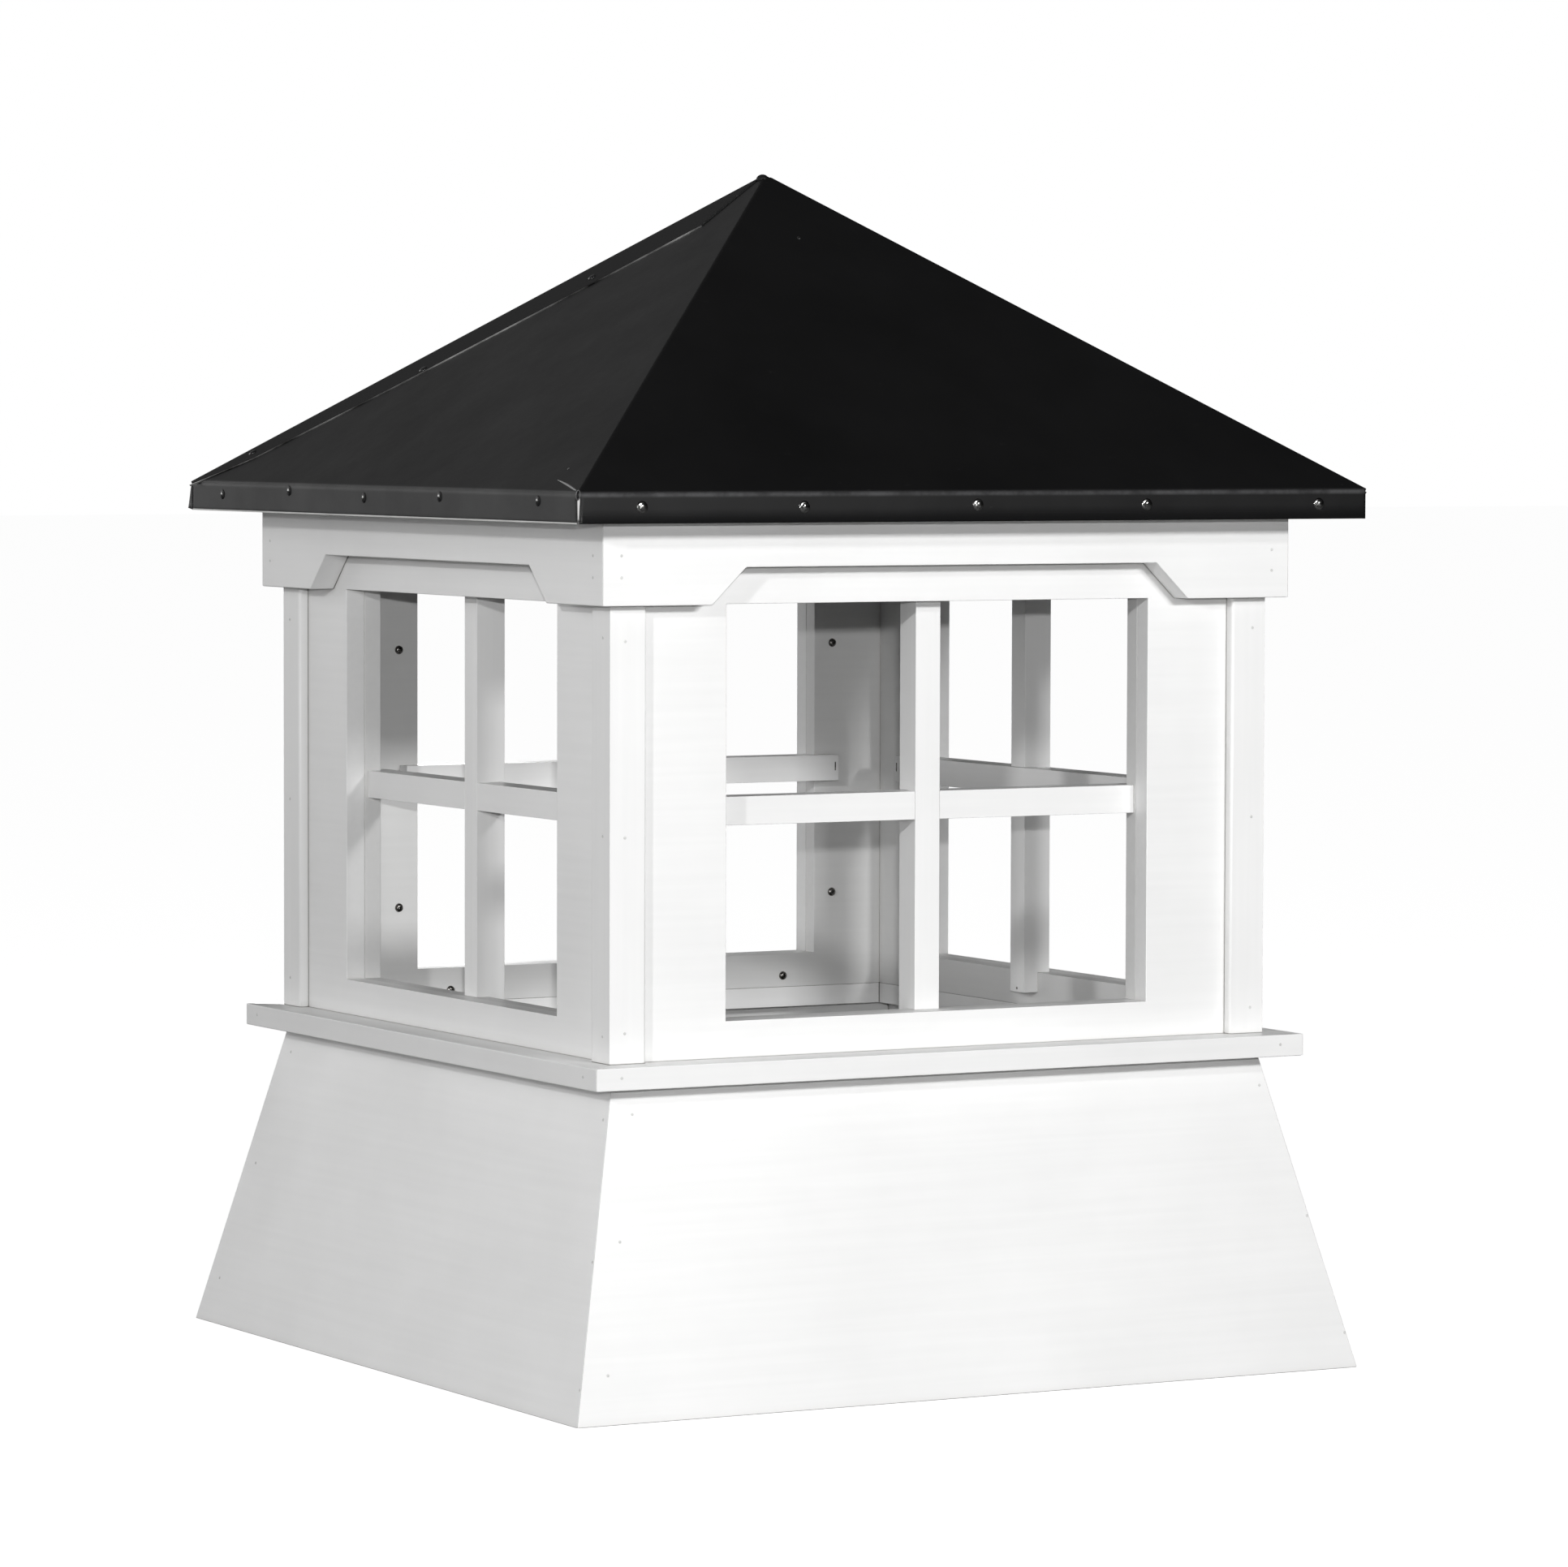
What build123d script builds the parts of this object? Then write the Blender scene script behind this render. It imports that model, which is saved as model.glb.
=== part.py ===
from build123d import *
import os

os.makedirs("parts", exist_ok=True)

# Square roof cupola of white boards: a flared base, a band, four window walls and a bent metal roof.
# Millimetres. Z is up, z = 0 is the underside of the base, the front wall faces -Y.

# body, measured to the faces of the corner boards
body_half = 320.0
corner_board_thick = 9.0
corner_board_wide = 34.0
corner_board_round = 2.5
outer_board_thick = 18.0
inner_board_thick = 16.0

# flared base
base_tall = 270.5
base_foot_half = 381.0
base_top_half = 317.0
base_board_thick = 18.0

# band under the walls
band_tall = 19.0
band_reach = 25.7

# window opening in each wall, alike in both layers
sill_tall = 31.0
opening_tall = 348.0
opening_half = 206.0

# window bars
bar_wide = 24.0
bar_deep = 27.0
bar_set_back = 3.5
bar_lap = 18.0
bar_fit = 0.2

# cornice boards with their notched lower edge
cornice_reach = 14.4
notch_rise = 31.0
notch_top_half = 200.0
notch_run = 32.0

# eaves boards under the roof sheets
wall_over_opening = 71.5
eaves_board_thick = 22.0

# roof sheets
roof_half = 382.0
roof_rise = 273.4
sheet_thick = 1.0
flange_tall = 25.4
fold_round = 4.0
sheet_end_gap = 0.3
corner_slit_top = 2.5
corner_slit_low = 1.0
strip_points = [(606.0, 9.0), (590.0, 15.0), (534.0, 32.0), (383.0, 43.0), (169.0, 50.0), (60.0, 51.0)]

# levels from the ground up
band_top = base_tall + band_tall
opening_low = band_top + sill_tall
opening_high = opening_low + opening_tall
opening_middle = (opening_low + opening_high) / 2
wall_top = opening_high + wall_over_opening
eaves_top = wall_top + eaves_board_thick

# planes of the walls, out from the middle
outer_face = body_half - corner_board_thick
layer_face = outer_face - outer_board_thick
inner_face = layer_face - inner_board_thick
band_half = body_half + band_reach
cornice_half = body_half + cornice_reach
eaves_half = roof_half - sheet_thick
bar_outer = layer_face - bar_set_back
bar_inner = bar_outer - bar_deep

reach = 2 * max(base_foot_half, band_half, roof_half)
tall = 2 * (eaves_top + roof_rise)


def section(points):
    # closed face in the upright plane across a side, from (distance out, height) pairs, out towards -Y
    return make_face(Polyline([(0, -out, z) for out, z in points], close=True))


def plan_wedge():
    # the quarter of the plan that belongs to the front side
    outline = Polyline([(0, 0, -tall), (-reach, -reach, -tall), (reach, -reach, -tall)], close=True)
    return extrude(make_face(outline), 2 * tall, dir=(0, 0, 1))


front_quarter = plan_wedge()


def run_along(face, length):
    return extrude(face, length, dir=(1, 0, 0)).moved(Location((-length / 2, 0, 0)))


def mitred(points):
    # a board that runs along the front side, cut on the diagonals at both ends
    return run_along(section(points), 2 * reach) & front_quarter


def upright_rectangle(out_far, out_near, low, high):
    return [(out_far, low), (out_far, high), (out_near, high), (out_near, low)]


def through_front(outline, out_far, out_near):
    # a prism through the front side from (x, height) pairs
    face = make_face(Polyline([(x, -out_far, z) for x, z in outline], close=True))
    return extrude(face, out_far - out_near, dir=(0, 1, 0))


def box_between(x_low, x_high, y_low, y_high, z_low, z_high):
    middle = ((x_low + x_high) / 2, (y_low + y_high) / 2, (z_low + z_high) / 2)
    return Box(x_high - x_low, y_high - y_low, z_high - z_low).moved(Location(middle))


def save(name, piece):
    solids = piece.solids()
    if len(solids) != 1:
        raise ValueError(name + " is in " + str(len(solids)) + " pieces")
    export_step(solids[0], "parts/" + name + ".step")


sides = [("front", 0), ("right", 90), ("back", 180), ("left", 270)]


def save_round(name, piece):
    # the same piece on all four sides
    for side, turn in sides:
        save(side + "_" + name, piece.rotate(Axis.Z, turn))


# base: four sloping boards, level at the foot and at the top
base_lean = (base_foot_half - base_top_half) / base_tall
base_level_thick = base_board_thick * (1 + base_lean ** 2) ** 0.5
base_points = [
    (base_foot_half, 0),
    (base_top_half, base_tall),
    (base_top_half - base_level_thick, base_tall),
    (base_foot_half - base_level_thick, 0),
]
save_round("base_board", mitred(base_points))

# band: flat boards that carry the walls, flush with them inside
save_round("band_board", mitred(upright_rectangle(band_half, inner_face, base_tall, band_top)))

# walls: an outer and an inner layer with the window opening cut through both
opening_outline = [
    (-opening_half, opening_low),
    (opening_half, opening_low),
    (opening_half, opening_high),
    (-opening_half, opening_high),
]
opening_cut = through_front(opening_outline, outer_face + 1, inner_face - 1)
outer_wall = mitred(upright_rectangle(outer_face, layer_face, band_top, wall_top)) - opening_cut
inner_wall = mitred(upright_rectangle(layer_face, inner_face, band_top, wall_top)) - opening_cut
save_round("wall_outer", outer_wall)
save_round("wall_inner", inner_wall)

# corner boards: angles that stand proud of the walls, from the band to the cornice
corner_points = [
    (-body_half, -body_half),
    (-body_half + corner_board_wide, -body_half),
    (-body_half + corner_board_wide, -outer_face),
    (-outer_face, -outer_face),
    (-outer_face, -body_half + corner_board_wide),
    (-body_half, -body_half + corner_board_wide),
]
corner_outline = make_face(Polyline(corner_points, close=True))
free_edges = [
    corner_outline.vertices().sort_by_distance((corner_points[1][0], corner_points[1][1], 0))[0],
    corner_outline.vertices().sort_by_distance((corner_points[5][0], corner_points[5][1], 0))[0],
]
corner_outline = fillet(free_edges, corner_board_round)
corner_tall = opening_high - band_top
corner_board = extrude(corner_outline, corner_tall, dir=(0, 0, 1)).moved(Location((0, 0, band_top)))
corner_names = ["front_left", "front_right", "back_right", "back_left"]
for number, corner_name in enumerate(corner_names):
    save(corner_name + "_corner_board", corner_board.rotate(Axis.Z, 90 * number))

# cornice boards: their lower edge is cut away over the window
cornice_board = mitred(upright_rectangle(cornice_half, outer_face, opening_high, wall_top))
notch_top = opening_high + notch_rise
notch_foot_half = notch_top_half + notch_run
notch_outline = [
    (-notch_foot_half, opening_high),
    (-notch_top_half, notch_top),
    (notch_top_half, notch_top),
    (notch_foot_half, opening_high),
    (notch_foot_half, opening_high - 1),
    (-notch_foot_half, opening_high - 1),
]
cornice_board -= through_front(notch_outline, cornice_half + 1, outer_face - 1)
save_round("cornice_board", cornice_board)

# window bars: half lapped where they cross, their ends lap over the wall inside
bar_half = bar_wide / 2
bar_split = (bar_outer + bar_inner) / 2
upright_bar = box_between(-bar_half, bar_half, -bar_outer, -bar_inner, opening_low, opening_high)
upright_lap = box_between(
    -bar_half, bar_half, -inner_face, -bar_inner, opening_low - bar_lap, opening_high + bar_lap
)
upright_cut = box_between(
    -bar_half - 1, bar_half + 1, -bar_split, -bar_inner + 1,
    opening_middle - bar_half - bar_fit, opening_middle + bar_half + bar_fit
)
upright_piece = upright_bar + upright_lap - upright_cut
level_low = opening_middle - bar_half
level_high = opening_middle + bar_half
level_bar = box_between(-opening_half, opening_half, -bar_outer, -bar_inner, level_low, level_high)
level_lap = box_between(
    -opening_half - bar_lap, opening_half + bar_lap, -inner_face, -bar_inner, level_low, level_high
)
level_cut = box_between(
    -bar_half - bar_fit, bar_half + bar_fit, -bar_outer - 1, -bar_split, level_low - 1, level_high + 1
)
level_piece = level_bar + level_lap - level_cut
save_round("window_upright", upright_piece)
save_round("window_crossbar", level_piece)

# eaves boards: lie on the walls and cornice and carry the roof sheets
eaves_points = upright_rectangle(eaves_half, inner_face, wall_top, eaves_top)
save_round("eaves_board", mitred(eaves_points))

# roof: the plane of each side falls from the tip to the fold over the flange
slope = roof_rise / roof_half
slope_long = (1 + slope ** 2) ** 0.5
sheet_drop = sheet_thick * slope_long
fold_level = eaves_top + slope * eaves_half + sheet_drop - slope * roof_half
tip_level = fold_level + roof_rise
flange_low = fold_level - flange_tall
side_step = sheet_thick * slope_long / slope


def sheet_section():
    inner_fold = tip_level - sheet_drop - slope * eaves_half
    points = [
        (0, tip_level),
        (roof_half, fold_level),
        (roof_half, flange_low),
        (eaves_half, flange_low),
        (eaves_half, inner_fold),
        (0, tip_level - sheet_drop),
    ]
    face = section(points)
    fold = face.vertices().sort_by_distance((0, -roof_half, fold_level))[0]
    return fillet([fold], fold_round) if fold_round > 0 else face


def envelope():
    # the space under the outer faces of the roof and inside its flanges
    house = [(-roof_half, 0), (-roof_half, fold_level), (0, tip_level), (roof_half, fold_level), (roof_half, 0)]
    span = run_along(section(house), 2 * roof_half)
    return span & span.rotate(Axis.Z, 90)


def strip_along_hip():
    # the lap strip of the left slope, beside the hip to the back, as a plate on the outer face
    hip_run = (2 * roof_half ** 2 + roof_rise ** 2) ** 0.5
    tip = Vector(0, 0, tip_level)
    down_hip = (Vector(-roof_half, roof_half, fold_level) - tip).normalized()
    outward = Vector(-slope / slope_long, 0, 1 / slope_long)
    across = outward.cross(down_hip).normalized()
    if across.Y > 0:
        across = across * -1
    kept = [(min(along, hip_run), wide) for along, wide in strip_points]
    edge = [tip + down_hip * along + across * wide for along, wide in kept]
    over = across * -4
    outline = [tip + over, tip + down_hip * hip_run + over] + edge
    return extrude(make_face(Polyline(outline, close=True)), sheet_thick, dir=outward)


roof_space = envelope()
long_run = run_along(sheet_section(), 2 * reach)
left_half_plan = box_between(-reach, 0, -reach, reach, 0, tall)
keep_front_left = front_quarter + box_between(0, reach, -reach, 0, 0, tall)
front_run = long_run & keep_front_left & roof_space
end_step = (sheet_thick + sheet_end_gap) * slope_long / slope
left_long = long_run.rotate(Axis.Z, -90)
left_quarter = front_quarter.rotate(Axis.Z, -90)
left_beyond = box_between(-reach, 0, 0, reach, 0, tall)
left_run = left_long & (left_quarter + left_beyond) & roof_space.moved(Location((0, -end_step, 0)))
back_strip = strip_along_hip() & roof_space.moved(Location((-side_step, 0, 0)))
own_strip = back_strip.rotate(Axis.Z, 180)
roof_sheet = front_run + left_run + own_strip

# slits between the flanges at the corners
slit_points = [
    (-corner_slit_low / 2 ** 0.5, flange_low - 1),
    (corner_slit_low / 2 ** 0.5, flange_low - 1),
    (corner_slit_top / 2 ** 0.5, fold_level - fold_round),
    (-corner_slit_top / 2 ** 0.5, fold_level - fold_round),
]
slit_plane = Plane(origin=(-roof_half, -roof_half, 0), x_dir=(1, -1, 0), z_dir=(-1, -1, 0))
slit_face = slit_plane * make_face(Polyline(slit_points, close=True))
slit = extrude(slit_face, 6 * sheet_thick, both=True)
roof_sheet -= slit
save("roof_sheet_front_left", roof_sheet)
save("roof_sheet_back_right", roof_sheet.rotate(Axis.Z, 180))
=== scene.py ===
import math

import bmesh
import bpy
from mathutils import Matrix, Vector


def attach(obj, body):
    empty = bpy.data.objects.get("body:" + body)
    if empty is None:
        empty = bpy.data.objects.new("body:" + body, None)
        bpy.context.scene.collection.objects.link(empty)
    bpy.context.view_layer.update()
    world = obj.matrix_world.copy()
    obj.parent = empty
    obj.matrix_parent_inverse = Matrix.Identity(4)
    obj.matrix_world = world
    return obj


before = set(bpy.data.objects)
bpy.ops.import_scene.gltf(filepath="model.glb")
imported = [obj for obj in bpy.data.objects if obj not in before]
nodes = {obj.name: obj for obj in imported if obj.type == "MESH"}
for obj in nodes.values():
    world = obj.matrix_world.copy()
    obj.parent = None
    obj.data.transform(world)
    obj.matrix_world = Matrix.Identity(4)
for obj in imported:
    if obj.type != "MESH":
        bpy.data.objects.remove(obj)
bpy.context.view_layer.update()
scene = bpy.context.scene
mm = 0.001

sideTurns = {"front": 0, "right": 90, "back": 180, "left": 270}  # degrees about Z from the front side
roofHalf, roofRise, roofTip = 382.0, 273.4, 1035.9  # mm: half the roof's width, height of the slopes, height of the tip

# the camera comes first: a long lens on the front left corner
cameraSpot = {
    "lens": 157.05,      # mm on a 36 mm sensor, for a 1932 x 1931 picture
    "turn": 28.9376,     # degrees off the front wall
    "tilt": -3.2126,
    "roll": 0.1571,
    "away": 6.05623,     # metres
    "aside": 0.01805,
    "height": 0.83826,
}


def placeCamera(c):
    turn, tilt, roll = (math.radians(c[k]) for k in ("turn", "tilt", "roll"))
    ahead = Vector((math.sin(turn), math.cos(turn), 0))
    right = Vector((math.cos(turn), -math.sin(turn), 0))
    up = Vector((0, 0, 1))
    look = ahead * math.cos(tilt) + up * math.sin(tilt)
    top = -ahead * math.sin(tilt) + up * math.cos(tilt)
    sideways = right * math.cos(roll) + top * math.sin(roll)
    upwards = -right * math.sin(roll) + top * math.cos(roll)
    data = bpy.data.cameras.new("photoCamera")
    data.sensor_width = 36
    data.lens = c["lens"]
    data.clip_start, data.clip_end = 0.1, 100
    camera = bpy.data.objects.new("photoCamera", data)
    scene.collection.objects.link(camera)
    turned = Matrix((sideways, upwards, -look)).transposed().to_4x4()
    turned.translation = -ahead * c["away"] + right * c["aside"] + up * c["height"]
    camera.matrix_world = turned
    scene.camera = camera


placeCamera(cameraSpot)
print("camera placed")

# studio: two softboxes at the front, one at the left, a small lamp above the camera,
# two fills for the far sides, soft glows and a pale floor
studio = {
    "backdrop": 1.0,
    "surround": 0.012,
    # soft bright parts of the surround: degrees to the left of the front, degrees up, half width in degrees, strength
    "glows": [(95, 6, 50, 0.7), (172, 30, 46, 0.2), (150, 4, 34, 1.8)],
    # lamps: degrees to the left of the front, degrees up, metres away, metres wide, watts
    "lamps": {
        "softboxRight": (-12, 15.2, 5.0, 0.4, 60),
        "softboxMiddle": (-3, 15.2, 5.0, 0.4, 89),
        "softboxLeft": (53.6, 14.6, 5.0, 0.2, 63),
        "overCamera": (28.4, 4.42, 5.87, 0.06, 89),
        "fillRight": (-100, 8, 5.0, 1.6, 90),
        "fillBack": (-165, 4, 5.0, 1.6, 90),
    },
    "floorGlow": 0.93,
    "floorHalf": 40.0,
}


def aroundFront(left, rise, away=1.0, centre=(0, 0, 0)):
    left, rise = math.radians(left), math.radians(rise)
    way = Vector((-math.sin(left) * math.cos(rise), -math.cos(left) * math.cos(rise), math.sin(rise)))
    return Vector(centre) + away * way


def addLamp(name, left, rise, away, size, power):
    centre = Vector((0, 0, 0.6))
    data = bpy.data.lights.new(name, "AREA")
    data.shape = "SQUARE"
    data.size = size
    data.energy = power
    lamp = bpy.data.objects.new(name, data)
    lamp.location = aroundFront(left, rise, away, centre)
    lamp.rotation_euler = (centre - lamp.location).to_track_quat("-Z", "Y").to_euler()
    lamp.visible_camera = False
    scene.collection.objects.link(lamp)
    return lamp


def surroundTree(s):
    world = bpy.data.worlds.new("studio")
    world.use_nodes = True
    scene.world = world
    tree = world.node_tree
    tree.nodes.clear()
    link = tree.links.new
    out = tree.nodes.new("ShaderNodeOutputWorld")
    mix = tree.nodes.new("ShaderNodeMixShader")
    path = tree.nodes.new("ShaderNodeLightPath")
    soft = tree.nodes.new("ShaderNodeBackground")
    seen = tree.nodes.new("ShaderNodeBackground")
    way = tree.nodes.new("ShaderNodeTexCoord").outputs["Generated"]
    total = None
    for left, rise, half, strength in s["glows"]:
        dot = tree.nodes.new("ShaderNodeVectorMath")
        dot.operation = "DOT_PRODUCT"
        dot.inputs[1].default_value = aroundFront(left, rise)
        link(way, dot.inputs[0])
        glow = tree.nodes.new("ShaderNodeMapRange")
        glow.interpolation_type = "SMOOTHSTEP"
        glow.inputs["From Min"].default_value = math.cos(math.radians(half))
        glow.inputs["From Max"].default_value = math.cos(math.radians(half * 0.35))
        glow.inputs["To Min"].default_value = 0
        glow.inputs["To Max"].default_value = strength
        link(dot.outputs["Value"], glow.inputs["Value"])
        add = tree.nodes.new("ShaderNodeMath")
        add.operation = "ADD"
        link(glow.outputs["Result"], add.inputs[0])
        if total:
            link(total, add.inputs[1])
        else:
            add.inputs[1].default_value = s["surround"]
        total = add.outputs[0]
    link(total, soft.inputs["Strength"])
    seen.inputs["Strength"].default_value = s["backdrop"]
    for background in (soft, seen):
        background.inputs["Color"].default_value = (1, 1, 1, 1)
    link(path.outputs["Is Camera Ray"], mix.inputs[0])
    link(soft.outputs[0], mix.inputs[1])
    link(seen.outputs[0], mix.inputs[2])
    link(mix.outputs[0], out.inputs[0])


def layFloor(s):
    mesh = bpy.data.meshes.new("paleFloor")
    shape = bmesh.new()
    half = s["floorHalf"]
    corners = ((-1, -1), (1, -1), (1, 1), (-1, 1))
    shape.faces.new([shape.verts.new((x * half, y * half, 0)) for x, y in corners])
    shape.to_mesh(mesh)
    shape.free()
    floor = bpy.data.objects.new("paleFloor", mesh)
    scene.collection.objects.link(floor)
    material = bpy.data.materials.new("paleFloor")
    material.use_nodes = True
    tree = material.node_tree
    tree.nodes.clear()
    out = tree.nodes.new("ShaderNodeOutputMaterial")
    mix = tree.nodes.new("ShaderNodeMixShader")
    add = tree.nodes.new("ShaderNodeAddShader")
    path = tree.nodes.new("ShaderNodeLightPath")
    plain = tree.nodes.new("ShaderNodeBsdfDiffuse")
    plain.inputs["Color"].default_value = (0.2, 0.2, 0.2, 1)
    pale = tree.nodes.new("ShaderNodeBsdfDiffuse")
    pale.inputs["Color"].default_value = (0.35, 0.35, 0.35, 1)
    glow = tree.nodes.new("ShaderNodeEmission")
    glow.inputs["Strength"].default_value = s["floorGlow"]
    tree.links.new(pale.outputs[0], add.inputs[0])
    tree.links.new(glow.outputs[0], add.inputs[1])
    tree.links.new(path.outputs["Is Camera Ray"], mix.inputs[0])
    tree.links.new(plain.outputs[0], mix.inputs[1])
    tree.links.new(add.outputs[0], mix.inputs[2])
    tree.links.new(mix.outputs[0], out.inputs[0])
    mesh.materials.append(material)


surroundTree(studio)
layFloor(studio)
# the fill lamps light only the two far sides and the corner board between the front and the right
farSides = bpy.data.collections.new("farSides")
for name, node in nodes.items():
    if name.startswith(("back", "right", "front_right")):
        farSides.objects.link(node)
for name, facts in studio["lamps"].items():
    lamp = addLamp(name, *facts)
    if name.startswith("fill"):
        lamp.light_linking.receiver_collection = farSides
scene.view_settings.view_transform = "Standard"
scene.view_settings.look = "None"
print("studio lit")


# node helpers
def newMaterial(name):
    material = bpy.data.materials.new(name)
    material.use_nodes = True
    tree = material.node_tree
    surface = tree.nodes["Principled BSDF"]
    return material, tree, surface


def noise(tree, places, scale, detail=3.0, rough=0.55, stretch=None):
    node = tree.nodes.new("ShaderNodeTexNoise")
    node.inputs["Scale"].default_value = scale
    node.inputs["Detail"].default_value = detail
    node.inputs["Roughness"].default_value = rough
    if stretch:
        mapping = tree.nodes.new("ShaderNodeMapping")
        mapping.inputs["Scale"].default_value = stretch
        tree.links.new(places, mapping.inputs["Vector"])
        places = mapping.outputs["Vector"]
    tree.links.new(places, node.inputs["Vector"])
    return node.outputs["Fac"]


def ramp(tree, value, stops):
    node = tree.nodes.new("ShaderNodeValToRGB")
    bands = node.color_ramp.elements
    while len(bands) < len(stops):
        bands.new(0.5)
    for band, (place, colour) in zip(bands, stops):
        band.position = place
        band.color = (*colour, 1)
    tree.links.new(value, node.inputs["Fac"])
    return node.outputs["Color"]


def between(tree, value, low, high, outLow, outHigh):
    node = tree.nodes.new("ShaderNodeMapRange")
    for key, number in (("From Min", low), ("From Max", high), ("To Min", outLow), ("To Max", outHigh)):
        node.inputs[key].default_value = number
    tree.links.new(value, node.inputs["Value"])
    return node.outputs["Result"]


def mixColour(tree, amount, first, second, kind="MIX"):
    node = tree.nodes.new("ShaderNodeMix")
    node.data_type = "RGBA"
    node.blend_type = kind
    for socket, value in ((node.inputs[0], amount), (node.inputs[6], first), (node.inputs[7], second)):
        if hasattr(value, "is_output"):
            tree.links.new(value, socket)
        elif isinstance(value, tuple):
            socket.default_value = (*value, 1)
        else:
            socket.default_value = value
    return node.outputs[2]


def times(tree, first, second):
    node = tree.nodes.new("ShaderNodeMath")
    node.operation = "MULTIPLY"
    tree.links.new(first, node.inputs[0])
    tree.links.new(second, node.inputs[1])
    return node.outputs[0]


def absolute(tree, value):
    node = tree.nodes.new("ShaderNodeMath")
    node.operation = "ABSOLUTE"
    tree.links.new(value, node.inputs[0])
    return node.outputs[0]


def bump(tree, height, strength, distance, normal=None):
    node = tree.nodes.new("ShaderNodeBump")
    node.inputs["Strength"].default_value = strength
    node.inputs["Distance"].default_value = distance
    tree.links.new(height, node.inputs["Height"])
    if normal:
        tree.links.new(normal, node.inputs["Normal"])
    return node.outputs["Normal"]


# white trim board: satin, faintly drawn along its length, with painted shade greying it in the corners and joints
whiteTrim = {
    "tone": (0.845, 0.845, 0.842),
    "toneLow": (0.805, 0.805, 0.802),
    # colour and reach of the painted shade in the corners and joints
    "jointShadeTone": (0.62, 0.61, 0.59),
    "jointReach": 7 * mm,
    "seamTone": (0.2, 0.195, 0.185),
    "seamReach": 1.6 * mm,
    "seamDark": 0.85,
    "gloss": (0.36, 0.48),
    "cloudScale": 5.0,
    "drawnScale": 160.0,
    "drawnDepth": 0.05 * mm,
    "wipeScale": 11.0,
    "peelScale": 900.0,
    "peelDepth": 0.03 * mm,
}


def makeWhite(name, along, w):
    material, tree, surface = newMaterial(name)
    places = tree.nodes.new("ShaderNodeTexCoord").outputs["Object"]
    stretch = {"x": (0.03, 1, 1), "y": (1, 0.03, 1), "z": (1, 1, 0.03)}[along]
    cloud = noise(tree, places, w["cloudScale"], 4.0, 0.6)
    drawn = noise(tree, places, w["drawnScale"], 2.0, 0.5, stretch)
    tone = ramp(tree, cloud, [(0.3, w["toneLow"]), (0.62, w["tone"])])
    streak = ramp(tree, drawn, [(0.3, (0.975,) * 3), (0.7, (1.0,) * 3)])
    tone = mixColour(tree, 1.0, tone, streak, "MULTIPLY")
    # painted shade: ambient occlusion within the joint reach greys the trim in corners and joints, where shade falls
    crevice = tree.nodes.new("ShaderNodeAmbientOcclusion")
    crevice.samples = 4
    crevice.inputs["Distance"].default_value = w["jointReach"]
    cornerShade = between(tree, crevice.outputs["AO"], 0.35, 0.9, 0.55, 0.0)
    tone = mixColour(tree, cornerShade, tone, w["jointShadeTone"])
    if w["seamDark"]:
        seam = tree.nodes.new("ShaderNodeAmbientOcclusion")
        seam.samples = 4
        seam.inputs["Distance"].default_value = w["seamReach"]
        line = between(tree, seam.outputs["AO"], 0.45, 0.8, w["seamDark"], 0.0)
        tone = mixColour(tree, line, tone, w["seamTone"])
    tree.links.new(tone, surface.inputs["Base Color"])
    wipe = noise(tree, places, w["wipeScale"], 5.0, 0.65)
    tree.links.new(between(tree, wipe, 0.3, 0.7, *w["gloss"]), surface.inputs["Roughness"])
    peel = noise(tree, places, w["peelScale"], 1.0)
    normal = bump(tree, drawn, 0.5, w["drawnDepth"])
    normal = bump(tree, peel, 0.5, w["peelDepth"], normal)
    tree.links.new(normal, surface.inputs["Normal"])
    return material


# black roof sheet: baked satin paint with soft waves, scuffs and rubbed folds; the front and back folds also carry a
# painted highlight
blackRoof = {
    "tone": (0.0048, 0.0048, 0.005),
    "toneHigh": (0.0085, 0.0085, 0.0088),
    # lighter tone of the scuffs, and of the painted highlight on the front and back folds
    "rubbedAndHighlit": (0.06, 0.06, 0.062),
    # heights between which the front and back folds are rubbed and given a painted highlight
    "folds": (758.0 * mm, 760.2 * mm, 761.4 * mm, 763.2 * mm),
    "rubbedGloss": 0.3,
    "gloss": (0.36, 0.48),
    # the lap strips lie this high over the slopes, carried up to the tip
    "lapped": (1036.3 * mm, 1036.9 * mm),
    "rise": roofRise / roofHalf,
    "lappedGloss": 0.62,
    "foot": (740.0 * mm, 750.0 * mm),  # below this the front and back flanges are less worn and glossier
    "footGloss": 0.2,
    "specular": 0.22,
    "bendRadius": 4 * mm,
    "cloudScale": 3.5,
    "wornScale": 40.0,
    "scuffScale": 60.0,
    "smearScale": 9.0,
    "waveScale": 4.0,
    "waveDepth": 0.5 * mm,
    "peelScale": 700.0,
    "peelDepth": 0.03 * mm,
}


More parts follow.
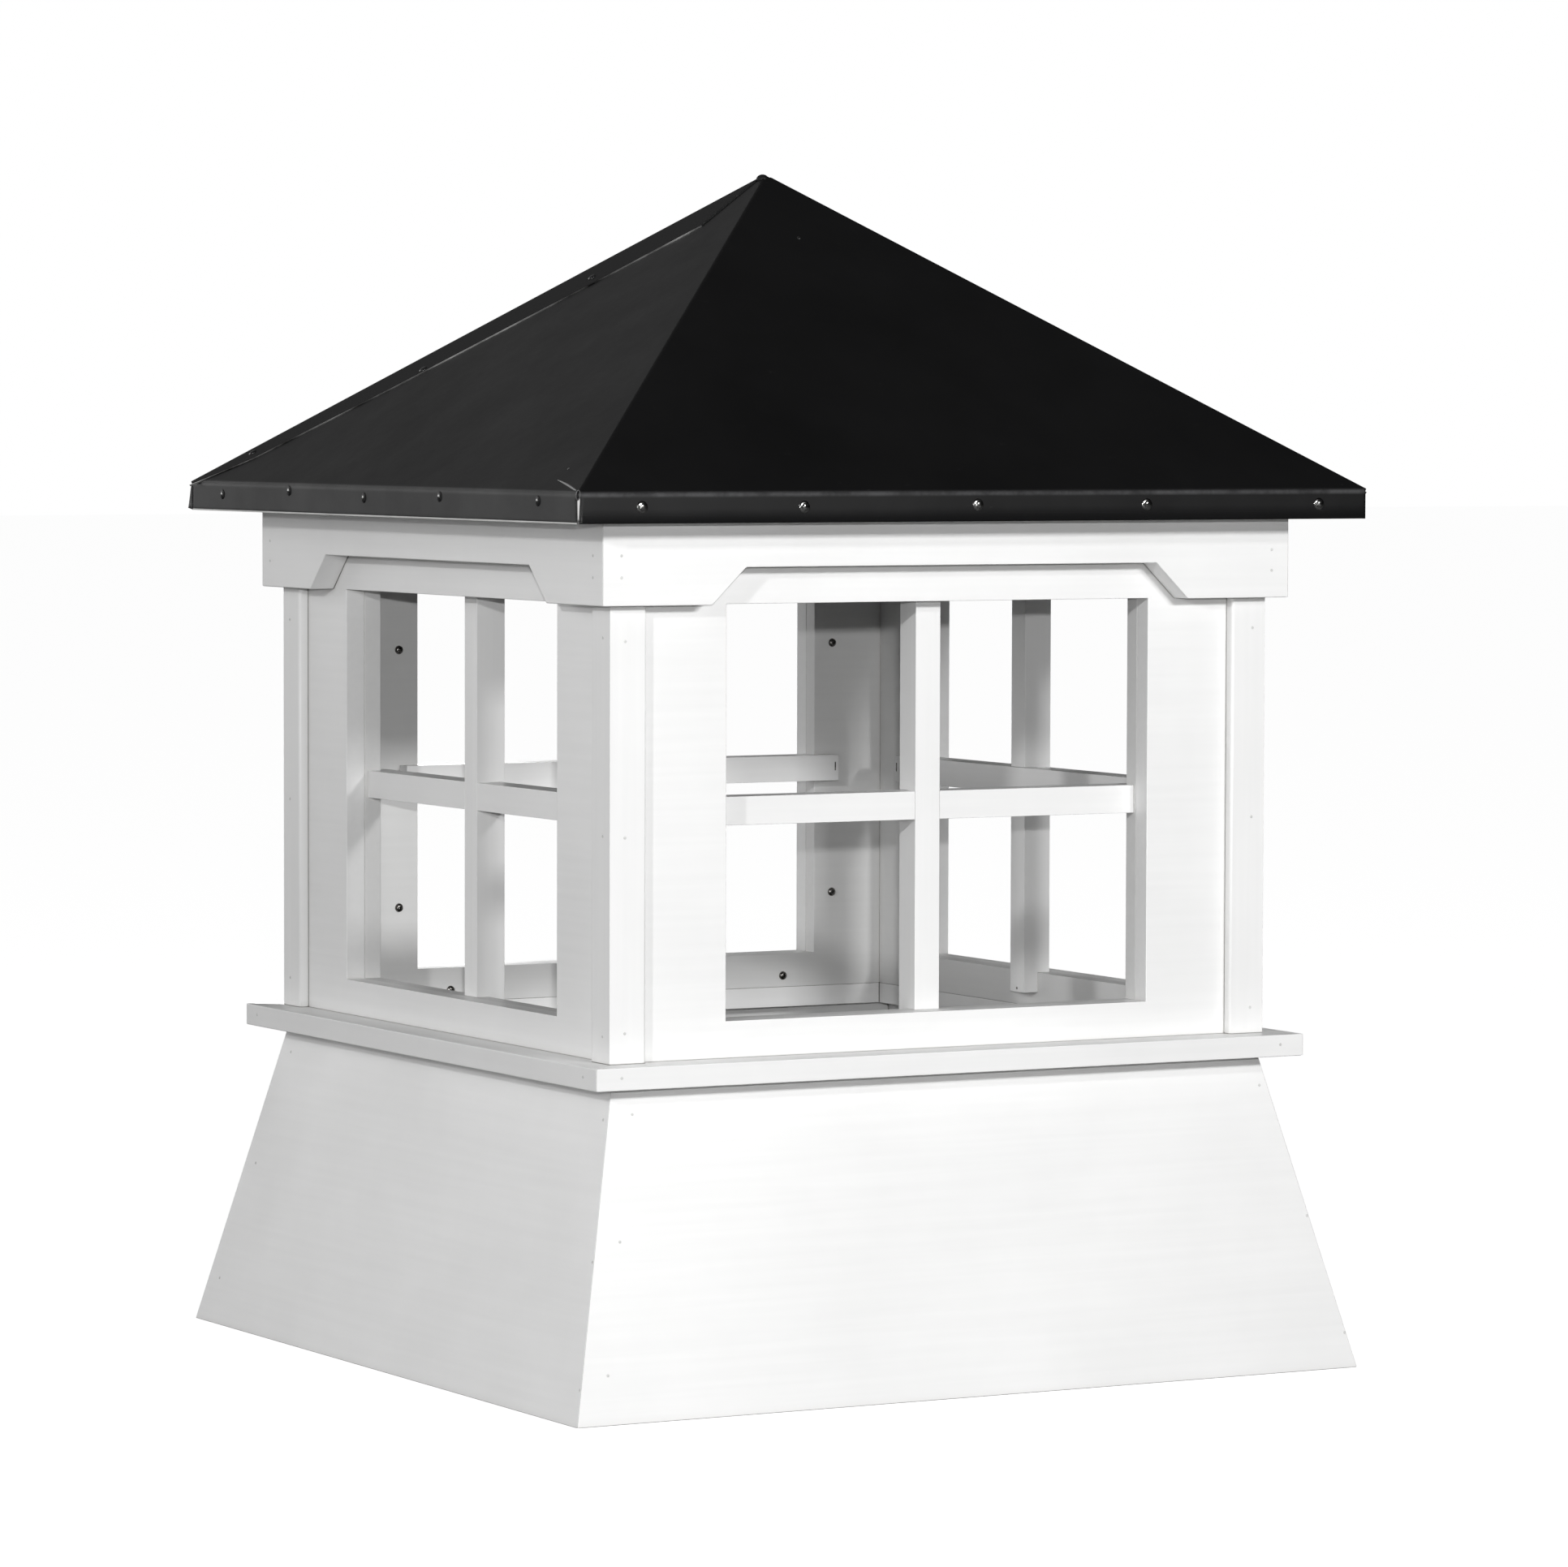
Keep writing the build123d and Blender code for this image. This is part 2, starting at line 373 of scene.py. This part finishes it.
def makeBlack(name, b):
    material, tree, surface = newMaterial(name)
    places = tree.nodes.new("ShaderNodeTexCoord").outputs["Object"]
    cloud = noise(tree, places, b["cloudScale"], 5.0, 0.6)
    tone = ramp(tree, cloud, [(0.3, b["tone"]), (0.72, b["toneHigh"])])
    height = tree.nodes.new("ShaderNodeSeparateXYZ")
    tree.links.new(places, height.inputs[0])
    lowest, low, high, highest = b["folds"]
    rising = between(tree, height.outputs["Z"], lowest, low, 0, 1)
    falling = between(tree, height.outputs["Z"], high, highest, 1, 0)
    side, back = absolute(tree, height.outputs["X"]), absolute(tree, height.outputs["Y"])
    apart = tree.nodes.new("ShaderNodeMath")
    apart.operation = "SUBTRACT"
    tree.links.new(back, apart.inputs[0])
    tree.links.new(side, apart.inputs[1])
    ends = between(tree, apart.outputs[0], 0, 1 * mm, 0, 1)  # 1 on the front and back, 0 on the left and right
    worn = between(tree, noise(tree, places, b["wornScale"], 4.0, 0.7), 0.35, 0.6, 0.35, 1.0)
    # painted highlight: the front and back folds are lightened, broken up by wear; the left and right folds are not
    rubbedAndHighlit = times(tree, times(tree, times(tree, rising, falling), worn), ends)
    tone = mixColour(tree, rubbedAndHighlit, tone, b["rubbedAndHighlit"])
    scuffs = noise(tree, places, b["scuffScale"], 6.0, 0.75, (1, 1, 4))
    tone = mixColour(tree, between(tree, scuffs, 0.66, 0.8, 0.0, 0.5), tone, b["rubbedAndHighlit"])
    tree.links.new(tone, surface.inputs["Base Color"])
    smear = noise(tree, places, b["smearScale"], 6.0, 0.7)
    gloss = between(tree, smear, 0.3, 0.7, *b["gloss"])
    rough = tree.nodes.new("ShaderNodeMix")
    tree.links.new(rubbedAndHighlit, rough.inputs[0])
    tree.links.new(gloss, rough.inputs[2])
    rough.inputs[3].default_value = b["rubbedGloss"]
    over = tree.nodes.new("ShaderNodeMath")
    over.operation = "MULTIPLY_ADD"
    over.inputs[1].default_value = b["rise"]
    tree.links.new(side, over.inputs[0])
    tree.links.new(height.outputs["Z"], over.inputs[2])
    lapped = between(tree, over.outputs[0], *b["lapped"], 0, 1)
    foot = times(tree, between(tree, height.outputs["Z"], *b["foot"], 1, 0), ends)
    smooth = tree.nodes.new("ShaderNodeMix")
    tree.links.new(foot, smooth.inputs[0])
    tree.links.new(rough.outputs[0], smooth.inputs[2])
    smooth.inputs[3].default_value = b["footGloss"]
    dull = tree.nodes.new("ShaderNodeMix")
    tree.links.new(lapped, dull.inputs[0])
    tree.links.new(smooth.outputs[0], dull.inputs[2])
    dull.inputs[3].default_value = b["lappedGloss"]
    tree.links.new(dull.outputs[0], surface.inputs["Roughness"])
    surface.inputs["Specular IOR Level"].default_value = b["specular"]
    wave = noise(tree, places, b["waveScale"], 1.0, 0.4)
    peel = noise(tree, places, b["peelScale"], 1.0)
    bend = tree.nodes.new("ShaderNodeBevel")
    bend.samples = 6
    bend.inputs["Radius"].default_value = b["bendRadius"]
    normal = bump(tree, wave, 1.0, b["waveDepth"], bend.outputs["Normal"])
    normal = bump(tree, peel, 0.5, b["peelDepth"], normal)
    tree.links.new(normal, surface.inputs["Normal"])
    return material


# the inner boards are duller and darker, a painted shade for the shaded inside, and the bars a little glossier, with no
# dark seams on either
shadedInnerTrim = dict(whiteTrim, tone=(0.745, 0.745, 0.74), toneLow=(0.70, 0.70, 0.695), gloss=(0.42, 0.55), seamDark=0.0)
barTrim = dict(whiteTrim, gloss=(0.32, 0.42), jointShadeTone=(0.78, 0.78, 0.775), seamDark=0.0)
whiteAlong = {k: makeWhite("whiteTrim." + k, k, whiteTrim) for k in "xyz"}
whiteInnerShaded = {k: makeWhite("whiteInnerShaded." + k, k, shadedInnerTrim) for k in "xyz"}
whiteBar = {k: makeWhite("whiteBar." + k, k, barTrim) for k in "xyz"}
blackSheet = makeBlack("blackSheet", blackRoof)


def paint(node, material):
    for number in range(len(nodes[node].material_slots)):
        nodes[node].material_slots[number].material = material


easing = {
    "weld": 0.00001,
    "flatAngle": 0.5,  # faces this near to level with each other are joined before the easing
    "edgeAngle": 28,
    "segments": 2,
}


def easeEdges(node, width, e=easing):
    # the boards' cut edges are eased a little, so they catch the light
    piece = nodes[node]
    piece.modifiers.new("join", "WELD").merge_threshold = e["weld"]
    flat = piece.modifiers.new("flat", "DECIMATE")
    flat.decimate_type = "DISSOLVE"
    flat.angle_limit = math.radians(e["flatAngle"])
    edge = piece.modifiers.new("eased", "BEVEL")
    edge.width = width
    edge.segments = e["segments"]
    edge.limit_method = "ANGLE"
    edge.angle_limit = math.radians(e["edgeAngle"])
    edge.harden_normals = True
    edge.miter_outer = "MITER_SHARP"


boardEdges = {
    "base_board": 0.7 * mm,
    "band_board": 0.9 * mm,
    "wall_outer": 0.7 * mm,
    "wall_inner": 0.7 * mm,
    "cornice_board": 0.9 * mm,
    "eaves_board": 0.6 * mm,
    "window_upright": 0.4 * mm,
    "window_crossbar": 0.4 * mm,
}
cornerEdge = 0.6 * mm
for side in sideTurns:
    level = "x" if side in ("front", "back") else "y"
    for board, width in boardEdges.items():
        node = side + "_" + board
        easeEdges(node, width)
        if board.startswith("window"):
            paint(node, whiteBar["z" if board == "window_upright" else level])
        elif board in ("wall_inner", "eaves_board"):
            # the inner boards and the eaves boards, which lie in shade, get the darker copy of the white: painted shade
            paint(node, whiteInnerShaded[level])
        else:
            paint(node, whiteAlong[level])
for corner in ("front_left", "front_right", "back_right", "back_left"):
    easeEdges(corner + "_corner_board", cornerEdge)
    paint(corner + "_corner_board", whiteAlong["z"])
for sheet in ("roof_sheet_front_left", "roof_sheet_back_right"):
    paint(sheet, blackSheet)
print("boards and sheets finished")


# metals and paints of the fasteners and edges
def makeMetal(name, tone, toneHigh, gloss, metallic, scale):
    material, tree, surface = newMaterial(name)
    places = tree.nodes.new("ShaderNodeTexCoord").outputs["Object"]
    cloud = noise(tree, places, scale, 4.0, 0.6)
    tree.links.new(ramp(tree, cloud, [(0.3, tone), (0.7, toneHigh)]), surface.inputs["Base Color"])
    tree.links.new(between(tree, cloud, 0.3, 0.7, *gloss), surface.inputs["Roughness"])
    surface.inputs["Metallic"].default_value = metallic
    grain = noise(tree, places, scale * 6, 2.0)
    tree.links.new(bump(tree, grain, 0.35, 0.04 * mm), surface.inputs["Normal"])
    return material


blackPaint = makeMetal("blackPaint", (0.008, 0.008, 0.0085), (0.02, 0.02, 0.02), (0.12, 0.22), 0.0, 260.0)
darkZinc = makeMetal("darkZinc", (0.14, 0.14, 0.137), (0.34, 0.34, 0.335), (0.14, 0.24), 1.0, 300.0)
# pale strip at the foot of the left and right flanges: a painted highlight
footHighlight = makeMetal("footHighlight", (0.42, 0.42, 0.41), (0.62, 0.62, 0.61), (0.35, 0.5), 0.0, 30.0)
darkSteel = makeMetal("darkSteel", (0.10, 0.097, 0.092), (0.26, 0.25, 0.24), (0.2, 0.32), 1.0, 300.0)
cutSteel = makeMetal("cutSteel", (0.05, 0.05, 0.05), (0.75, 0.75, 0.74), (0.28, 0.5), 1.0, 22.0)
# lighter paint of the corner creases and lips: rubbed paint and a painted highlight
rubbedAndHighlitPaint = makeMetal("rubbedAndHighlitPaint", (0.03, 0.03, 0.031), (0.12, 0.12, 0.12), (0.3, 0.45), 0.0, 120.0)
paintedBrad = makeMetal("paintedBrad", (0.50, 0.50, 0.49), (0.68, 0.68, 0.67), (0.4, 0.55), 0.0, 300.0)


def onSide(side, along, out, z):
    # a point given along a side (left to right as seen from outside), out from the middle and up, in mm
    turn = Matrix.Rotation(math.radians(sideTurns[side]), 4, "Z")
    return turn @ (Vector((along, -out, z)) * mm)


def outOf(side):
    return Matrix.Rotation(math.radians(sideTurns[side]), 4, "Z") @ Vector((0, -1, 0))


def lathe(shape, profile, base, ahead, sides=28, spin=0.0):
    # turns (radius, height, cross) rings about the line from base ahead; cross draws a ring in to a cross
    frameOf = ahead.to_track_quat("Z", "Y").to_matrix().to_4x4()
    frameOf.translation = base
    rings = []
    for ring in profile:
        radius, height = ring[0] * mm, ring[1] * mm
        cross = ring[2] if len(ring) > 2 else 0.0
        if radius == 0:
            rings.append([shape.verts.new(frameOf @ Vector((0, 0, height)))])
            continue
        row = []
        for n in range(sides):
            a = 2 * math.pi * n / sides + spin
            pull = 1 - cross * (0.5 - 0.5 * math.cos(4 * (a - spin))) ** 0.7
            spot = Vector((math.cos(a) * radius * pull, math.sin(a) * radius * pull, height))
            row.append(shape.verts.new(frameOf @ spot))
        rings.append(row)
    for lower, upper in zip(rings, rings[1:]):
        for n in range(sides):
            m = (n + 1) % sides
            if len(lower) == 1:
                shape.faces.new((lower[0], upper[m], upper[n]))
            elif len(upper) == 1:
                shape.faces.new((lower[n], lower[m], upper[0]))
            else:
                shape.faces.new((lower[n], lower[m], upper[m], upper[n]))


def cornerAt(shape, turn, spot):
    return shape.verts.new(turn @ (spot * mm))


def closeRound(shape, one, two):
    # joins two rings of corners with faces all the way round
    for n in range(len(one)):
        m = (n + 1) % len(one)
        shape.faces.new((one[n], one[m], two[m], two[n]))


def addPiece(name, shape, material, smooth):
    bmesh.ops.recalc_face_normals(shape, faces=shape.faces)
    mesh = bpy.data.meshes.new(name)
    shape.to_mesh(mesh)
    shape.free()
    mesh.materials.append(material)
    mesh.shade_smooth()
    mesh.set_sharp_from_angle(angle=math.radians(smooth))
    piece = bpy.data.objects.new(name, mesh)
    scene.collection.objects.link(piece)
    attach(piece, "root")
    return piece


# hex washer-head screws that hold the roof flanges; the left and right ones lie flatter
flangeScrews = {
    "eased": 0.35 * mm,
    "easedAngle": 20,
    # along the side, height
    "front": [(-323, 750.5), (-172, 750), (-6, 751), (160, 750.5), (334, 750)],
    "left": [(-315, 752), (-173, 757), (-20, 753), (128, 756), (311, 755)],
    # radius, height over the flange
    "washer": [(0, -0.8), (4.7, -0.8), (5.2, -0.1), (5.2, 0.15), (4.8, 0.5), (4.1, 0.8), (3.3, 1.0), (2.4, 1.1), (0, 1.1)],
    "hex": [(0, 0.8), (3.3, 0.8), (3.5, 1.1), (3.5, 1.7), (3.1, 2.2), (2.3, 2.6), (1.3, 2.8), (0, 2.85)],
    "lowWasher": [(0, -0.8), (4.4, -0.8), (4.6, -0.1), (4.6, 0.1), (4.2, 0.35), (3.4, 0.5), (0, 0.55)],
    "lowHex": [(0, 0.3), (2.3, 0.3), (2.4, 0.6), (2.3, 0.9), (1.8, 1.2), (1.0, 1.35), (0, 1.4)],
    "spin": (0.35, 0.5),  # radians: of the first head, and more for each next one
}


def addFlangeScrews(f):
    washers, lowWashers, heads = bmesh.new(), bmesh.new(), bmesh.new()
    for side, listed in (("front", "front"), ("left", "left"), ("back", "front"), ("right", "left")):
        for number, (along, z) in enumerate(f[listed]):
            spot = onSide(side, along, roofHalf, z)
            spin = f["spin"][0] + f["spin"][1] * number
            if listed == "left":
                lathe(lowWashers, f["lowWasher"], spot, outOf(side))
                lathe(heads, f["lowHex"], spot, outOf(side), 6, spin)
            else:
                lathe(washers, f["washer"], spot, outOf(side))
                lathe(heads, f["hex"], spot, outOf(side), 6, spin)
    coats = (("washers", washers, darkZinc), ("lowWashers", lowWashers, blackSheet), ("heads", heads, darkZinc))
    for name, shape, coat in coats:
        piece = addPiece("flangeScrews." + name, shape, coat, 40)
        edge = piece.modifiers.new("eased", "BEVEL")
        edge.width = f["eased"]
        edge.segments = 3
        edge.angle_limit = math.radians(f["easedAngle"])
        edge.harden_normals = True


addFlangeScrews(flangeScrews)

# rivets along the lap strips and one near the tip of each plain slope, as (x, y) over the left and front slopes
roofRivets = {
    "strip": [(-346, 328), (-241, 193), (-127, 86)],
    "plain": [(-9.8, -79.6)],
    "dome": [(0, -1.2), (3.6, -1.2), (3.9, 0), (3.6, 0.7), (2.7, 1.25), (1.4, 1.6), (0, 1.7)],
    "small": [(0, -1.0), (1.9, -1.0), (2.1, 0), (1.8, 0.6), (1.0, 0.95), (0, 1.05)],
}


def addRoofRivets(r):
    shape = bmesh.new()
    rise = roofRise / roofHalf
    lean = math.hypot(1, rise)
    for half in (0, 180):
        turn = Matrix.Rotation(math.radians(half), 4, "Z")
        for x, y in r["strip"]:
            ahead = Vector((-rise, 0, 1)) / lean
            spot = Vector((x, y, roofTip + rise * x)) * mm + ahead * mm  # the strip lies 1 mm over the slope
            lathe(shape, r["dome"], turn @ spot, turn @ ahead)
        for x, y in r["plain"]:
            ahead = Vector((0, -rise, 1)) / lean
            spot = Vector((x, y, roofTip + rise * y)) * mm
            lathe(shape, r["small"], turn @ spot, turn @ ahead)
    addPiece("roofRivets", shape, blackPaint, 40)


addRoofRivets(roofRivets)

# thin bare edge of each lap strip, drawn beside the strip's own edge
lapEdge = {
    # down the hip, across the slope
    "points": [(606.0, 9.0), (590.0, 15.0), (534.0, 32.0), (383.0, 43.0), (169.0, 50.0), (60.0, 51.0)],
    "steps": 8,
    "thick": 0.55,
    "tall": 1.15,
    "sunk": -0.4,
}


def addLapEdges(e):
    shape = bmesh.new()
    tip = Vector((0, 0, roofTip))
    downHip = Vector((-roofHalf, roofHalf, -roofRise)).normalized()
    outward = Vector((-roofRise, 0, roofHalf)).normalized()
    across = outward.cross(downHip).normalized()
    if across.y > 0:
        across = -across
    line = []
    for (start, wideStart), (end, wideEnd) in zip(e["points"], e["points"][1:]):
        for step in range(e["steps"]):
            part = step / e["steps"]
            down = start + (end - start) * part
            line.append(tip + downHip * down + across * (wideStart + (wideEnd - wideStart) * part))
    line.append(tip + downHip * e["points"][-1][0] + across * e["points"][-1][1])
    section = ((0, e["sunk"]), (e["thick"], e["sunk"]), (e["thick"], e["tall"] * 0.8), (0.1, e["tall"]))
    for half in (0, 180):
        turn = Matrix.Rotation(math.radians(half), 4, "Z")
        rings = [[cornerAt(shape, turn, spot + across * a + outward * b) for a, b in section] for spot in line]
        for one, two in zip(rings, rings[1:]):
            closeRound(shape, one, two)
        for end in (rings[0], rings[-1]):
            shape.faces.new(end)
    addPiece("lapEdges", shape, cutSteel, 30)


addLapEdges(lapEdge)

# folded end of the sheet at the tip, and at the two bent corners a crease beside a small open lip; the crease and the
# lip are lighter than the sheet, rubbed paint with a painted highlight
roofEnds = {
    "tipSpot": (-2.4, 0.6, 1035.6),
    "tipFold": [(0, -6), (5.6, -5), (5.6, -3.2), (5.2, -1.8), (4.2, -0.5), (2.6, 0.5), (1.0, 0.95), (0, 1.0)],
    "crease": [(-379.4, -374.5, 764.6), (-378.4, -369.5, 765.2), (-376.4, -361.0, 766.6),
               (-373.4, -347.0, 768.8), (-370.6, -332.0, 770.8), (-368.6, -320.0, 772.2)],
    "creaseWide": 1.5,
    "creaseHigh": 1.0,
    "lipSpot": (-381.3, -381.3, 760.6),
    "lipHalf": (1.7, 4.1),
    "lipThick": 0.42,
    "lipWay": (-1, -1, 0.35),
    "hollowSteps": 24,
    "hollowDeep": 0.5,
    "dent": (-355.7, -314.5, 781.3),
    "dentHead": [(0, -0.8), (1.2, -0.8), (1.3, 0), (0.9, 0.45), (0, 0.6)],
    # back, up
    "tab": [(381.6, 737.4), (390.8, 738.6), (388.8, 744.0), (387.0, 750.0), (385.4, 756.0), (384.0, 759.5), (381.6, 762.0)],
    "tabOut": (-382.05, -381.2),
    "foot": (380.5, 382.12, 737.0, 738.3),  # half length, out, low, high
    "footThick": 0.6,
}


def addFlangeEnd(e):
    # the left flange ends in a slanted tab at the back corner
    shape = bmesh.new()
    rows = [[shape.verts.new(Vector((out, y, z)) * mm) for y, z in e["tab"]] for out in e["tabOut"]]
    for row in rows:
        shape.faces.new(row)
    closeRound(shape, *rows)
    addPiece("flangeEnd", shape, blackSheet, 30)


def addFlangeFeet(e):
    # thin pale strip along the foot of the left and right flanges: a painted highlight for the light caught there
    shape = bmesh.new()
    length, out, low, high = e["foot"]
    inside = out - e["footThick"]
    section = ((out, low), (out, high), (inside, high), (inside, low))
    for half in (0, 180):
        turn = Matrix.Rotation(math.radians(half), 4, "Z")
        ends = [[cornerAt(shape, turn, Vector((-x, y, z))) for x, z in section] for y in (-length, length)]
        closeRound(shape, *ends)
        for end in ends:
            shape.faces.new(end)
    addPiece("flangeFeet", shape, footHighlight, 30)


def ridge(shape, line, wide, high, outward, turn):
    # a low ridge along the line, fading at its ends
    rows = []
    for number, spot in enumerate(line):
        ahead = (line[min(number + 1, len(line) - 1)] - line[max(number - 1, 0)]).normalized()
        across = outward.cross(ahead).normalized()
        part = math.sin(math.pi * (0.12 + 0.8 * number / (len(line) - 1)))
        foot = spot - outward * 0.3
        corners = (foot - across * wide * part, spot + outward * high * part, foot + across * wide * part)
        rows.append([cornerAt(shape, turn, corner) for corner in corners])
    for one, two in zip(rows, rows[1:]):
        closeRound(shape, one, two)
    shape.faces.new(rows[0])
    shape.faces.new(rows[-1])


def oval(shape, centre, ahead, half, thick, turn, steps=28, around=8):
    # a thin oval wire that lies square to ahead
    side = Vector((0, 0, 1)).cross(ahead).normalized()
    top = ahead.cross(side).normalized()
    rings = []
    for n in range(steps):
        a = 2 * math.pi * n / steps
        out = side * math.cos(a) + top * math.sin(a)
        spot = centre + side * (math.cos(a) * half[0]) + top * (math.sin(a) * half[1])
        rings.append([cornerAt(shape, turn, spot + out * (thick * math.cos(b)) + ahead * (thick * math.sin(b)))
                      for b in (2 * math.pi * m / around for m in range(around))])
    for n in range(steps):
        closeRound(shape, rings[n], rings[(n + 1) % steps])


def addRoofEnds(e):
    tip, creases, lips, hollows = bmesh.new(), bmesh.new(), bmesh.new(), bmesh.new()
    lathe(tip, e["tipFold"], Vector(e["tipSpot"]) * mm, Vector((0, 0, 1)), 20)
    outward = Vector((-roofRise, 0, roofHalf)).normalized()
    ahead = Vector(e["lipWay"]).normalized()
    side = Vector((0, 0, 1)).cross(ahead).normalized()
    top = ahead.cross(side).normalized()
    middle = Vector(e["lipSpot"])
    steps = (2 * math.pi * n / e["hollowSteps"] for n in range(e["hollowSteps"]))
    disc = [(math.cos(a) * e["lipHalf"][0], math.sin(a) * e["lipHalf"][1]) for a in steps]
    for half in (0, 180):
        turn = Matrix.Rotation(math.radians(half), 4, "Z")
        ridge(creases, [Vector(spot) for spot in e["crease"]], e["creaseWide"], e["creaseHigh"], outward, turn)
        lathe(creases, e["dentHead"], turn @ (Vector(e["dent"]) * mm), turn @ outward, 12)
        oval(lips, middle, ahead, e["lipHalf"], e["lipThick"], turn)
        rim = [cornerAt(hollows, turn, middle + side * a + top * b) for a, b in disc]
        deep = middle - ahead * e["hollowDeep"]
        floor = [cornerAt(hollows, turn, deep + side * a * 0.8 + top * b * 0.85) for a, b in disc]
        closeRound(hollows, rim, floor)
        hollows.faces.new(floor)
    addPiece("tipFold", tip, blackSheet, 60)
    addPiece("cornerCreases", creases, rubbedAndHighlitPaint, 30)
    addPiece("cornerLips", lips, rubbedAndHighlitPaint, 60)
    addPiece("cornerHollows", hollows, blackPaint, 30)


addRoofEnds(roofEnds)
addFlangeEnd(roofEnds)
addFlangeFeet(roofEnds)

# steel pan-head screws through the inner boards of each wall
innerScrews = {
    "out": 277.0,
    "places": [(-225, 611), (225, 611), (-225, 377), (225, 377), (-173, 300), (173, 300)],
    "head": [(0, -0.8), (3.7, -0.8), (4.0, 0.2), (3.7, 1.1), (3.1, 1.8), (2.3, 2.3),
             (1.7, 2.45, 0.3), (1.5, 1.6, 0.5), (0.9, 0.9, 0.5), (0, 0.8)],
    "spin": (0.4, 0.7),  # radians: of the first head, and more for each next one
}


def addInnerScrews(s):
    shape = bmesh.new()
    for side in sideTurns:
        for number, (along, z) in enumerate(s["places"]):
            spin = s["spin"][0] + s["spin"][1] * number
            lathe(shape, s["head"], onSide(side, along, s["out"], z), -outOf(side), 32, spin)
    addPiece("innerScrews", shape, darkSteel, 50)


addInnerScrews(innerScrews)

# small brads: set in the trim outside, and at the lapped ends of the bars inside
brads = {
    "head": [(0, -0.5), (1.1, -0.5), (1.25, 0), (1.1, 0.3), (0.5, 0.42), (0, 0.42)],
    # each trim face: out from the middle, then along the side and height of each brad
    "corner": (320.0, [(-306, 639), (-306, 477), (-306, 315), (307, 642), (307, 478), (307, 312)]),
    "cornice": (334.4, [(317, 710), (317, 692), (-317, 710), (-317, 692)]),
    "band": (345.7, [(-322, 281), (322, 281)]),
    "base": [(-300, 248), (-324, 146), (-348, 40), (315, 244), (348, 131), (372, 30)],
    "baseSlope": (381.0, 317.0, 270.5),  # half width at the foot and at the top, height
    "barFace": 262.5,
    "bars": [(0, 306), (0, 683)],
    "staples": [(-220.5, 496), (220.5, 496)],
    "staple": (0.6, 4.2, 0.35),  # half width, half height, proud
    "stapleSunk": 0.4,
}


def addBrads(b):
    outside, inside = bmesh.new(), bmesh.new()
    footHalf, topHalf, tall = b["baseSlope"]
    lean = (footHalf - topHalf) / tall
    wide, high, proud = b["staple"]
    face, sunk = b["barFace"], b["stapleSunk"]
    corners = ((-1, -1), (1, -1), (1, 1), (-1, 1))
    for side in sideTurns:
        for out, row in (b["corner"], b["cornice"], b["band"]):
            for along, z in row:
                lathe(outside, b["head"], onSide(side, along, out, z), outOf(side), 12)
        for along, z in b["base"]:
            ahead = (outOf(side) + Vector((0, 0, lean))).normalized()
            lathe(outside, b["head"], onSide(side, along, footHalf - lean * z, z), ahead, 12)
        for along, z in b["bars"]:
            lathe(inside, b["head"], onSide(side, along, face, z), -outOf(side), 12)
        for along, z in b["staples"]:
            foot = [inside.verts.new(onSide(side, along + a * wide, face + sunk, z + c * high)) for a, c in corners]
            crown = [inside.verts.new(onSide(side, along + a * wide * 0.7, face - proud, z + c * (high - 0.4)))
                     for a, c in corners]
            inside.faces.new(foot)
            inside.faces.new(crown)
            closeRound(inside, foot, crown)
    addPiece("trimBrads", outside, paintedBrad, 40)
    addPiece("barBrads", inside, darkSteel, 40)


addBrads(brads)
print("fasteners set")

bpy.context.view_layer.update()
